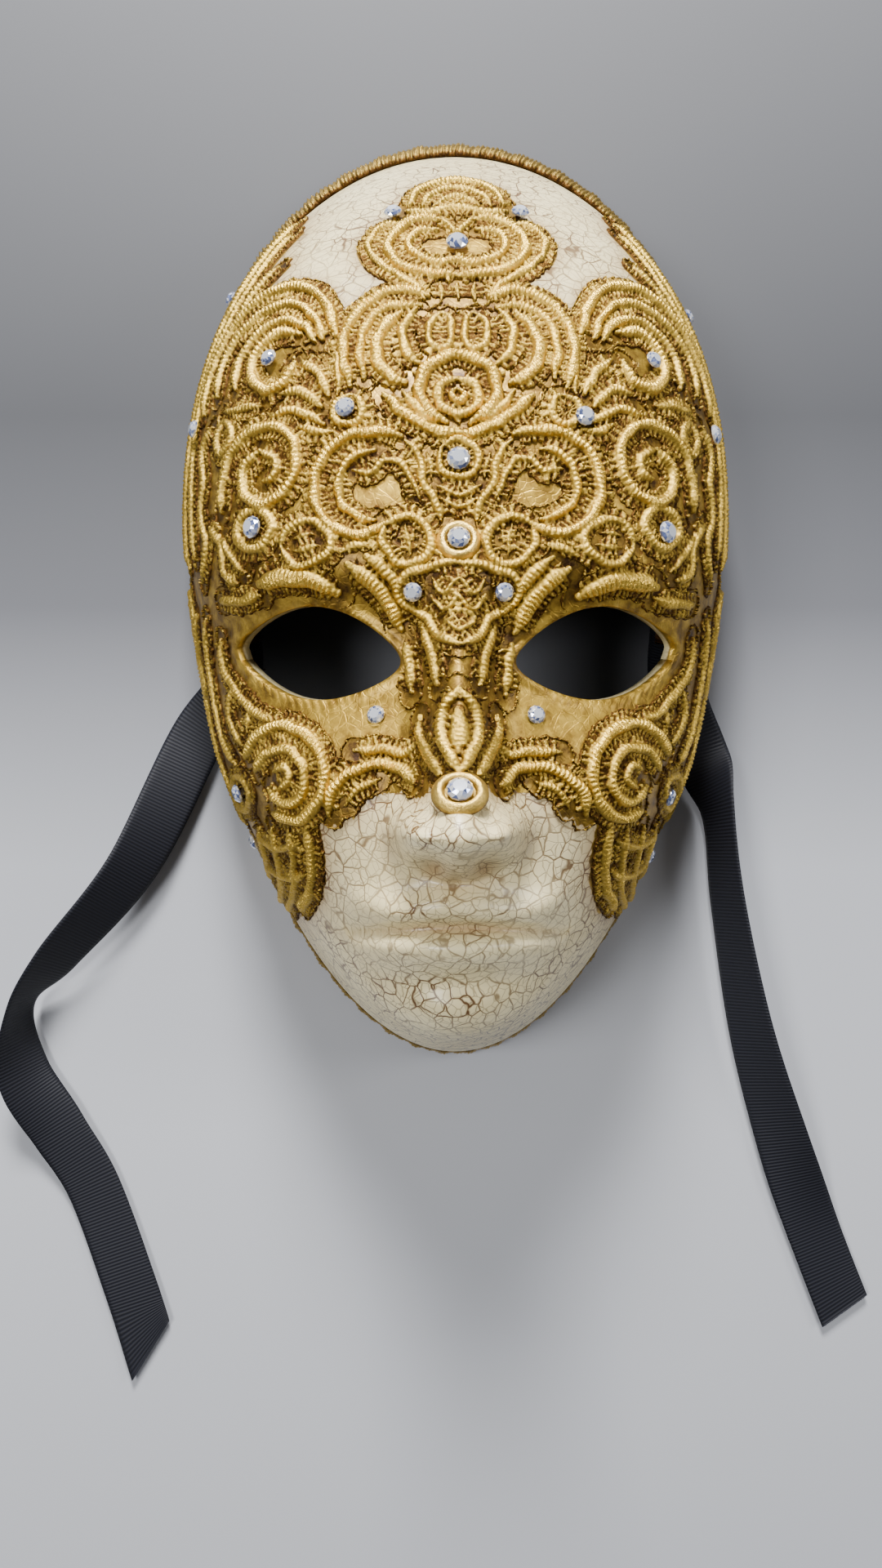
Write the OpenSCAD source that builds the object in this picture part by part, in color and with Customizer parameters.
// Full-face masquerade mask: moulded shell, rim braid, lace appliques, stones and ribbons.
// Units are millimetres. The mask lies face up on its rim: +Z out of the face, +Y to the crown.

/* [Shell] */
// half the shell's width before the egg shaping
half_width = 76; // [65:90]
// half the shell's length, crown to chin
half_length = 134; // [115:145]
// how much wider the forehead is than the jaw
egg = 0.18; // [0:0.01:0.3]
// height of the face above the rim, without the nose
depth = 84; // [60:100]
// wall thickness
wall = 3; // [2:0.5:5]
// height of the arches in the rim at the cheeks, where the ribbons leave
arch_height = 8; // [0:12]
// how open the wall stands at the crown
open_crown = 0.5; // [0.1:0.05:0.7]
// how open the wall stands at the sides
open_side = 0.12; // [0.1:0.01:0.7]
// how open the wall stands at the chin
open_chin = 0.12; // [0.1:0.01:0.7]
// how much fuller than an ellipse the sides and chin are
full = 0.5; // [0:0.1:1]

/* [Face] */
// distance of each eye centre from the middle
eye_x = 34; // [30:40]
// height of the eye line
eye_y = -24; // [-32:-18]
// width of each eye opening
eye_width = 42; // [34:48]
// height of each eye opening
eye_height = 22; // [14:28]
// slant of each eye opening, outer corner up
eye_slant = 8; // [0:15]
// how far the nose tip stands out
nose_rise = 16; // [8:22]

/* [Lace] */
// height of the lace above the shell
lace_height = 2.2; // [1:0.1:3.5]
// gap of the glue film under the lace
glue_gap = 0.3; // [0.1:0.05:0.5]

/* [Braid] */
// thickness of the braid
braid_thick = 2.4; // [1.5:0.1:4]
// height of the braid up the wall
braid_tall = 7; // [4:10]
// number of scallops round the rim
scallops = 36; // [24:48]

/* [Ribbons] */
// width of the ribbons
ribbon_width = 16; // [12:25]
// thickness of the ribbons
ribbon_thick = 0.7; // [0.4:0.1:1.2]

/* [Hidden] */
rings = 30;
spokes = 56;
// how near the rim the face shapes start to fade out
fade_from = 0.86;
// the round of the ramp used for smooth steps
function ramp(a, b, v) = let(u = max(0, min(1, (v - a) / (b - a)))) u * u * (3 - 2 * u);
// a soft round hill
function hill(x, y, cx, cy, rx, ry) = exp(-pow((x - cx) / rx, 2) - pow((y - cy) / ry, 2));

// the rim's outline and the spoke that passes through a point
function rim_x(t) = half_width * cos(t) * (1 + egg * sin(t));
function rim_y(t) = half_length * sin(t);
function spoke_step(x, y, t) = atan2(y / half_length * (1 + egg * sin(t)), x / half_width);
function spoke_at(x, y, t, n) = n == 0 ? t : spoke_at(x, y, spoke_step(x, y, t), n - 1);
function spoke_of(x, y) = spoke_at(x, y, atan2(y / half_length, x / half_width), 6);

// the plain dome of the shell over one spoke, g running from 0 at the middle to 1 at the rim
function open_at(t) = open_side
  + (open_crown - open_side) * pow(max(sin(t), 0), 2)
  + (open_chin - open_side) * pow(max(-sin(t), 0), 2);
function arch_at(t) = arch_height * exp(-pow((sin(t) + 0.36) / 0.13, 2));
function dome(t, g) =
  let(w = open_at(t))
  let(n = 2 + full * (1 - pow(max(sin(t), 0), 2)))
  depth * (pow(max(1 - (1 - pow(w, n)) * pow(g, n), 0), 1 / n) - w) / (1 - w) + arch_at(t) * pow(g, 12);

// the soft masses of the face, used inside and outside
function masses(x, y) =
  let(ax = abs(x))
  11 * hill(x, y, 0, -94, 40, 32)
  + 9 * hill(x, y, 0, -114, 22, 13)
  + 5 * hill(ax, y, 40, -58, 20, 20)
  + 3.5 * hill(ax, y, 30, -4, 22, 9);
function sockets(x, y) = 8 * hill(abs(x), y, eye_x, eye_y - 2, 23, 15);

// the nose: bridge, tip and wings
function nose(x, y, foot) =
  let(run = max(0, min(1.08, (-16 - y) / 46)))
  let(half = 6.5 + 3.5 * run * run)
  let(end = pow(ramp(foot - 13, foot - 2, y - 0.03 * x * x), 0.6))
  (6 + nose_rise * run) * exp(-pow(abs(x) / half, 2.4)) * end * ramp(8, -22, y)
  + 4 * hill(x, y, 0, -65, 8, 7) * end
  + 13 * hill(abs(x), y, 10.5, -66.5, 4.4, 5.5);

// the closed lips
function lips(x, y) =
  let(w = max(0, 1 - pow(x / 27, 2)))
  4 * exp(-pow((y + 84) / 4.2, 2)) * pow(w, 0.7)
  + 5 * exp(-pow((y + 93.8) / 5, 2)) * pow(w, 0.9)
  - 4 * exp(-pow((y + 88.2 + 0.004 * x * x) / 2.2, 2)) * pow(w, 0.4)
  - 4 * hill(x, y, 0, -103, 18, 4.5);

function face_out(x, y) = masses(x, y) - sockets(x, y) + nose(x, y, -65) + lips(x, y);
function face_in(x, y) = 0.8 * masses(x, y) - sockets(x, y) + 0.7 * nose(x, y, -60);
function fade(g) = ramp(1, fade_from, g);

// the outer skin as a point on a spoke, and as a height over the plan
function skin(t, g) =
  let(x = g * rim_x(t))
  let(y = g * rim_y(t))
  [x, y, dome(t, g) + face_out(x, y) * fade(g)];
function height(x, y) =
  let(t = spoke_of(x, y))
  let(g = min(1, norm([x, y]) / norm([rim_x(t), rim_y(t)])))
  skin(t, g)[2];

function unit(v) = v / norm(v);

// a point standing h off the outer skin, over the plan point x, y
function off_skin(x, y, h) =
  let(e = 0.6)
  let(dx = (height(x + e, y) - height(x - e, y)) / (2 * e))
  let(dy = (height(x, y + e) - height(x, y - e)) / (2 * e))
  [x, y, height(x, y)] + h * unit([-dx, -dy, 1]);
function skin_normal(x, y) = off_skin(x, y, 1) - off_skin(x, y, 0);

// the dome's own outward normal on a spoke
function dome_point(t, g) = [g * rim_x(t), g * rim_y(t), dome(t, g)];
function dome_normal(t, g) = g < 0.01 ? [0, 0, 1] : unit(cross(
  dome_point(t, g) - dome_point(t, g - 0.01),
  dome_point(t + 0.5, g) - dome_point(t - 0.5, g)
));

// the inner skin: one wall inside the dome, with softer features; the last ring lies level
function inner(t, g) =
  let(p = dome_point(t, g))
  let(n = dome_normal(t, min(g, 1)))
  let(flat = unit([n[0], n[1], 0.0001]))
  g > 0.999 ? [p[0] - wall * flat[0], p[1] - wall * flat[1], p[2]]
  : p - wall * n + [0, 0, face_in(p[0], p[1]) * fade(g)];

// a smooth curve through hand-set points
function spline_point(p, i, u) =
  let(a = p[max(i - 1, 0)])
  let(b = p[i])
  let(c = p[i + 1])
  let(d = p[min(i + 2, len(p) - 1)])
  0.5 * (2 * b + (c - a) * u + (2 * a - 5 * b + 4 * c - d) * u * u + (3 * b - a - 3 * c + d) * u * u * u);
function spline(p, steps) = concat(
  [for (i = [0 : len(p) - 2]) for (k = [0 : steps - 1]) spline_point(p, i, k / steps)],
  [p[len(p) - 1]]
);

// faces of a closed tube made of rows of m points
function tube_faces(rows, m) = concat(
  [[for (j = [0 : m - 1]) j]],
  [for (i = [0 : rows - 2]) for (j = [0 : m - 1]) [i * m + j, (i + 1) * m + j, i * m + (j + 1) % m]],
  [for (i = [0 : rows - 2]) for (j = [0 : m - 1])
    [(i + 1) * m + j, (i + 1) * m + (j + 1) % m, i * m + (j + 1) % m]],
  [[for (j = [m - 1 : -1 : 0]) (rows - 1) * m + j]]
);

// stones: name, x, y, radius, height off the skin
on_lace = 2.5;
on_skin = 0.2;
STONES = [
  ["stone_crest_left", -16, 90, 2.3, on_lace],
  ["stone_crest_right", 16, 90, 2.3, on_lace],
  ["stone_crest_middle", 0, 78, 2.8, on_lace],
  ["stone_temple_left", -62, 82, 2.2, on_lace],
  ["stone_temple_right", 64, 76, 2.2, on_lace],
  ["stone_scroll_left", -45, 48, 2.2, on_lace],
  ["stone_scroll_right", 47, 48, 2.2, on_lace],
  ["stone_arch_left", -26, 32, 2.4, on_lace],
  ["stone_arch_right", 29, 30, 2.4, on_lace],
  ["stone_forehead", 0, 19, 2.7, on_lace],
  ["stone_side_left", -67, 38, 2.3, on_lace],
  ["stone_side_right", 65, 35, 2.5, on_lace],
  ["stone_brow", 0, 0, 2.6, 2.2],
  ["stone_curl_left", -48, 6, 2.7, on_lace],
  ["stone_curl_right", 49, 5, 2.7, on_lace],
  ["stone_heart_left", -10, -11, 2.2, on_lace],
  ["stone_heart_right", 10, -11, 2.2, on_lace],
  ["stone_eye_left", -19, -39, 2.2, on_skin],
  ["stone_eye_right", 18, -39, 2.2, on_skin],
  ["stone_nose", 0, -57, 2.9, 1.6],
  ["stone_cheek_left", -56, -57, 2.5, on_lace],
  ["stone_cheek_right", 54, -58, 2.3, on_lace],
  ["stone_jaw_left", -56, -71, 2.2, on_skin],
  ["stone_jaw_right", 54, -75, 2.2, on_skin]
];

// lace strips, drawn for the left side: name, width, points in plan
STRIPS = [
  ["arch", 8, [[-18, 37], [-26, 46], [-24, 57], [-12, 64]]],
  ["scroll", 10, [[-65, 48], [-62, 62], [-51, 69], [-38, 65], [-32, 54], [-39, 46]]],
  ["spray", 9, [[-48, 40], [-40, 37], [-31, 27]]],
  ["temple", 8, [[-61, 84], [-69, 66], [-72, 46], [-72, 26], [-68, 8]]],
  ["curl", 6, [[-55, 21], [-50, 28], [-42, 27], [-38, 19], [-42, 11], [-50, 4], [-60, 4]]],
  ["c_scroll", 8, [[-13, 27], [-24, 27], [-33, 19], [-31, 8], [-20, 2]]],
  ["brow", 7, [[-61, -7], [-47, -6], [-34, -6], [-23, -10], [-14, -20]]],
  ["wing", 6, [[-10, -48], [-19, -47], [-27, -52], [-30, -61]]],
  ["volute", 7, [[-52, -60], [-52, -48], [-42, -41], [-33, -46], [-33, -57], [-41, -62]]],
  ["jaw_fan", 12, [[-47, -67], [-43, -76], [-40, -87]]],
  ["side", 8, [[-67, -8], [-66, -22], [-64, -36], [-60, -47]]]
];

// lace centre patches: name, middle, half width, rise above, drop below, lobes
PATCHES = [
  ["lace_crest", [0, 84], 21, 20, 18, 7],
  ["lace_palmette", [0, 47], 16, 14, 16, 5],
  ["lace_body", [0, 18], 12, 8, 12, 3],
  ["lace_heart", [0, -12], 13, 6, 11, 6],
  ["lace_nose", [0, -41], 6, 13, 11, 4]
];

// ribbon routes: point and roll of the flat side, in millimetres and degrees
ROUTE_LEFT = [
  [[-58, -6, 40], 70], [[-61, -16, 25], 55], [[-66, -28, 9], 10], [[-77, -42, 4], 5],
  [[-94, -79, 11], 35], [[-116, -106, 12], 55], [[-127, -121, 11], 80], [[-127, -140, 8], 45],
  [[-118, -158, 4], 10], [[-108, -176, 2], 0], [[-97, -206, 2], 0], [[-91, -225, 2], 0]
];
ROUTE_RIGHT = [
  [[58, -6, 40], -70], [[61, -17, 25], -55], [[66, -30, 9], -15], [[73, -45, 4], -5],
  [[77, -62, 9], -65], [[80, -90, 10], -65], [[87, -127, 9], -50], [[97, -160, 6], -28],
  [[107, -187, 2], 0], [[117, -213, 2], 0]
];

PAIRS = [for (s = STRIPS) for (side = ["left", "right"]) str("lace_", s[0], "_", side)];

// the piece to draw, or all of them

gold = [0.72, 0.53, 0.2];
old_gold = [0.58, 0.4, 0.13];
ivory = [0.9, 0.86, 0.72];
black = [0.05, 0.05, 0.07];
clear = [0.85, 0.9, 1];

// the almond outline of an eye opening
function almond(a) = [
  eye_width / 2 * cos(a),
  eye_height / 2 * sin(a) * (1 - 0.35 * pow(cos(a), 2))
];

module eye_cutter(side) {
  translate([side * eye_x, eye_y, 0])
    rotate([0, 0, side * eye_slant])
      linear_extrude(height = 130)
        polygon([for (a = [0 : 15 : 345]) almond(a)]);
}

// outer rings, inner rings and the rim between them, as one closed skin
module shell_blank() {
  outer_points = [for (i = [1 : rings]) for (j = [0 : spokes - 1]) skin(j * 360 / spokes, i / rings)];
  inner_points = [for (i = [1 : rings]) for (j = [0 : spokes - 1]) inner(j * 360 / spokes, i / rings)];
  count = rings * spokes;
  last = (rings - 1) * spokes;
  top = 2 * count;
  bottom = 2 * count + 1;
  polyhedron(
    points = concat(outer_points, inner_points, [skin(0, 0), inner(0, 0)]),
    faces = concat(
      [for (j = [0 : spokes - 1]) [top, (j + 1) % spokes, j]],
      [for (j = [0 : spokes - 1]) [bottom, count + j, count + (j + 1) % spokes]],
      [for (i = [0 : rings - 2]) for (j = [0 : spokes - 1])
        [i * spokes + j, i * spokes + (j + 1) % spokes, (i + 1) * spokes + j]],
      [for (i = [0 : rings - 2]) for (j = [0 : spokes - 1])
        [i * spokes + (j + 1) % spokes, (i + 1) * spokes + (j + 1) % spokes, (i + 1) * spokes + j]],
      [for (i = [0 : rings - 2]) for (j = [0 : spokes - 1])
        [count + i * spokes + j, count + (i + 1) * spokes + j, count + i * spokes + (j + 1) % spokes]],
      [for (i = [0 : rings - 2]) for (j = [0 : spokes - 1])
        [count + i * spokes + (j + 1) % spokes, count + (i + 1) * spokes + j,
          count + (i + 1) * spokes + (j + 1) % spokes]],
      [for (j = [0 : spokes - 1]) [last + j, last + (j + 1) % spokes, count + last + j]],
      [for (j = [0 : spokes - 1])
        [last + (j + 1) % spokes, count + last + (j + 1) % spokes, count + last + j]]
    )
  );
}

module face_shell() {
  color(ivory)
    difference() {
      shell_blank();
      eye_cutter(-1);
      eye_cutter(1);
    }
}

// the braid: a scalloped band glued up the outside of the rim
braid_steps = 4 * scallops;
function braid_ring(k) =
  let(t = k * 360 / braid_steps)
  let(p = dome_point(t, 1))
  let(n = dome_normal(t, 1))
  let(flat = unit([n[0], n[1], 0]))
  let(up = unit([-n[0] * n[2], -n[1] * n[2], n[0] * n[0] + n[1] * n[1]]))
  let(wave = 0.5 - 0.5 * cos(scallops * (t - 180 / scallops)))
  let(tall = braid_tall - 2 * wave)
  let(foot = p + 0.4 * flat + [0, 0, 0.2])
  [
    foot,
    foot + braid_thick * 0.8 * flat,
    foot + (braid_thick - 0.5 * wave) * flat + 0.35 * tall * up,
    foot + (braid_thick * 0.8 - 0.5 * wave) * flat + 0.8 * tall * up,
    foot + tall * up + 0.3 * flat,
    foot + 0.5 * tall * up
  ];

module rim_braid() {
  m = 6;
  rows = braid_steps;
  color(old_gold)
    polyhedron(
      points = [for (k = [0 : rows - 1]) each braid_ring(k)],
      faces = concat(
        [for (i = [0 : rows - 1]) for (j = [0 : m - 1])
          [i * m + j, i * m + (j + 1) % m, ((i + 1) % rows) * m + j]],
        [for (i = [0 : rows - 1]) for (j = [0 : m - 1])
          [i * m + (j + 1) % m, ((i + 1) % rows) * m + (j + 1) % m, ((i + 1) % rows) * m + j]]
      )
    );
}

// one strip of corded lace laid along a plan curve, with a groove down its middle
strip_steps = 5;
function strip_row(c, i, w) =
  let(n = len(c) - 1)
  let(d = unit(c[min(i + 1, n)] - c[max(i - 1, 0)]))
  let(s = [-d[1], d[0]])
  let(u = i / n)
  let(h = w / 2 * (0.62 + 0.38 * sin(180 * u)) * (1 + 0.1 * (i % 2)))
  let(a = c[i] - h * s)
  let(b = c[i] + h * s)
  let(ai = c[i] - 0.55 * h * s)
  let(bi = c[i] + 0.55 * h * s)
  [
    off_skin(a[0], a[1], glue_gap),
    off_skin(c[i][0], c[i][1], glue_gap),
    off_skin(b[0], b[1], glue_gap),
    off_skin(bi[0], bi[1], lace_height),
    off_skin(c[i][0], c[i][1], 0.6 * lace_height),
    off_skin(ai[0], ai[1], lace_height)
  ];

module lace_strip(index, side) {
  w = STRIPS[index][1];
  p = [for (q = STRIPS[index][2]) [side * -q[0], q[1]]];
  c = spline(p, strip_steps);
  rows = len(c);
  faces = tube_faces(rows, 6);
  color(gold)
    polyhedron(
      points = [for (i = [0 : rows - 1]) each strip_row(c, i, w)],
      faces = faces
    );
}

// one centre patch: rings of points inside a lobed outline, raised in waves
patch_rings = 4;
patch_spokes = 28;
function patch_edge(p, a) =
  (1 + 0.09 * cos(p[5] * (a - 90))) * [p[2] * cos(a), (sin(a) > 0 ? p[3] : p[4]) * sin(a)];
function patch_plan(p, i, j) = p[1] + (i / patch_rings) * patch_edge(p, j * 360 / patch_spokes);
function patch_lift(i) = i == patch_rings ? glue_gap : lace_height * (i % 2 == 1 ? 1 : 0.6);

module lace_patch(index) {
  p = PATCHES[index];
  m = patch_spokes;
  upper = [for (i = [1 : patch_rings]) for (j = [0 : m - 1])
    let(q = patch_plan(p, i, j)) off_skin(q[0], q[1], patch_lift(i))];
  lower = [for (i = [1 : patch_rings - 1]) for (j = [0 : m - 1])
    let(q = patch_plan(p, i, j)) off_skin(q[0], q[1], glue_gap)];
  base = patch_rings * m;
  top = base + (patch_rings - 1) * m;
  // below the last ring the lower skin shares the edge of the upper one
  function low(i, j) = i == patch_rings ? (i - 1) * m + j % m : base + (i - 1) * m + j % m;
  function high(i, j) = (i - 1) * m + j % m;
  color(gold)
    polyhedron(
      points = concat(upper, lower, [
        off_skin(p[1][0], p[1][1], 0.6 * lace_height),
        off_skin(p[1][0], p[1][1], glue_gap)
      ]),
      faces = concat(
        [for (j = [0 : m - 1]) [top, high(1, j + 1), high(1, j)]],
        [for (j = [0 : m - 1]) [top + 1, low(1, j), low(1, j + 1)]],
        [for (i = [1 : patch_rings - 1]) for (j = [0 : m - 1])
          [high(i, j), high(i, j + 1), high(i + 1, j)]],
        [for (i = [1 : patch_rings - 1]) for (j = [0 : m - 1])
          [high(i, j + 1), high(i + 1, j + 1), high(i + 1, j)]],
        [for (i = [1 : patch_rings - 1]) for (j = [0 : m - 1])
          [low(i, j), low(i + 1, j), low(i, j + 1)]],
        [for (i = [1 : patch_rings - 1]) for (j = [0 : m - 1])
          [low(i, j + 1), low(i + 1, j), low(i + 1, j + 1)]]
      )
    );
}

// turns what follows so that its +Z stands on the skin at x, y
module on_face(x, y, h) {
  n = skin_normal(x, y);
  translate(off_skin(x, y, h))
    rotate([0, acos(n[2]), atan2(n[1], n[0])])
      children();
}

// a flat-backed stone: girdle, crown and table
module stone(index) {
  s = STONES[index];
  r = s[3];
  color(clear)
    on_face(s[1], s[2], s[4])
      union() {
        cylinder(h = 0.5, r = r, $fn = 12);
        translate([0, 0, 0.5])
          cylinder(h = 1.1, r1 = r, r2 = 0.55 * r, $fn = 12);
      }
}

// a round setting with a flat seat and a raised lip
bezel_lip = 1.3;
module bezel(x, y, r, seat, tall) {
  color(gold)
    on_face(x, y, glue_gap)
      difference() {
        cylinder(h = tall, r1 = r + bezel_lip + 0.5, r2 = r + bezel_lip, $fn = 48);
        translate([0, 0, seat])
          cylinder(h = tall, r = r + 0.1, $fn = 48);
      }
}

module brow_bezel() {
  bezel(0, 0, 2.6, 1.8, 2.6);
}

module nose_bezel() {
  bezel(0, -57, 2.9, 1.2, 2.2);
}

// a flat ribbon swept along its route, rolled as it goes
ribbon_steps = 5;
function ribbon_row(c, i) =
  let(n = len(c) - 1)
  let(d = unit(c[min(i + 1, n)][0] - c[max(i - 1, 0)][0]))
  let(level = unit(cross(d, [0, 0, 1])))
  let(rise = cross(level, d))
  let(a = c[i][1])
  let(s = cos(a) * level + sin(a) * rise)
  let(k = cross(s, d))
  let(w = ribbon_width / 2)
  let(h = ribbon_thick / 2)
  [
    c[i][0] - w * s, c[i][0] - 0.9 * w * s - h * k, c[i][0] + 0.9 * w * s - h * k,
    c[i][0] + w * s, c[i][0] + 0.9 * w * s + h * k, c[i][0] - 0.9 * w * s + h * k
  ];
function route_curve(route) =
  let(p = spline([for (r = route) r[0]], ribbon_steps))
  let(a = spline([for (r = route) [r[1], 0]], ribbon_steps))
  [for (i = [0 : len(p) - 1]) [p[i], a[i][0]]];

module ribbon(route) {
  c = route_curve(route);
  rows = len(c);
  color(black)
    polyhedron(
      points = [for (i = [0 : rows - 1]) each ribbon_row(c, i)],
      faces = tube_faces(rows, 6)
    );
}

// the felt pad that holds a ribbon's end inside the temple
pad_length = 20;
pad_thick = 1;
module ribbon_patch(side) {
  color(black)
    translate([side * 62, -6, 40])
      rotate([0, side * 70, 0])
        translate([-ribbon_width / 2 - 1, -pad_length / 2, 0])
          cube([ribbon_width + 2, pad_length, pad_thick]);
}

face_shell();
rim_braid();
ribbon(ROUTE_LEFT);  // ribbon_left
ribbon(ROUTE_RIGHT);  // ribbon_right
ribbon_patch(-1);  // ribbon_patch_left
ribbon_patch(1);  // ribbon_patch_right
brow_bezel();
nose_bezel();
for (i = [0 : len(PATCHES) - 1])
  lace_patch(i);
for (i = [0 : len(STRIPS) - 1]) {
  lace_strip(i, -1);
  lace_strip(i, 1);
}
for (i = [0 : len(STONES) - 1])
  stone(i);
